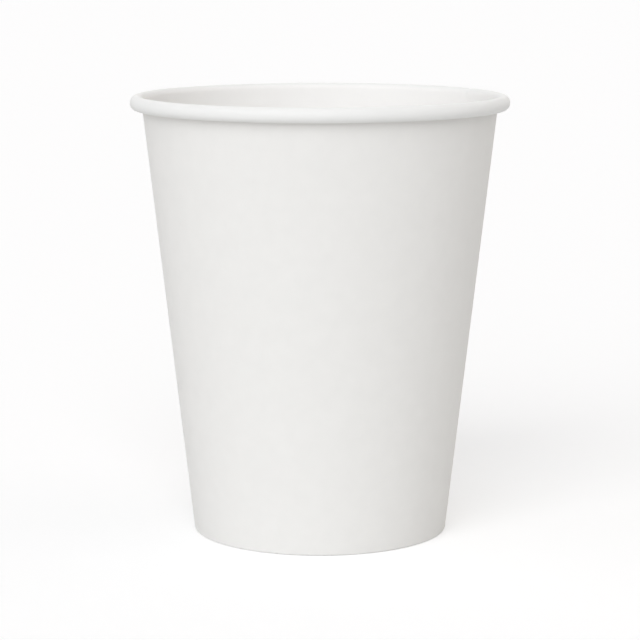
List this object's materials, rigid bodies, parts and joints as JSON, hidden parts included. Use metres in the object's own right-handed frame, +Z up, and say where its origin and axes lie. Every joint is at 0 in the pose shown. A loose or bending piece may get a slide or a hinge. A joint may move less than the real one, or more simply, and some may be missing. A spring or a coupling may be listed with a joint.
{
  "type": "paper coffee cup",
  "caption": "Plain white single-wall paper cup for hot drinks: a tapered, lapped sidewall with a rolled rim, and a recessed base disc held in its hem.",
  "frame": {"origin": "centre of the foot, on the surface that the cup stands on", "axes": "+Z up along the cup's axis; the camera of the picture looks along +Y; the side seam is 25 degrees round from +X towards +Y"},
  "size_m": [0.08, 0.08, 0.093],
  "materials": {
    "sidewall_board": "matte",
    "bottom_board": "matte"
  },
  "bodies": {
    "root": {"cup_sidewall": "sidewall_board", "cup_bottom": "bottom_board"}
  },
  "joints": []
}
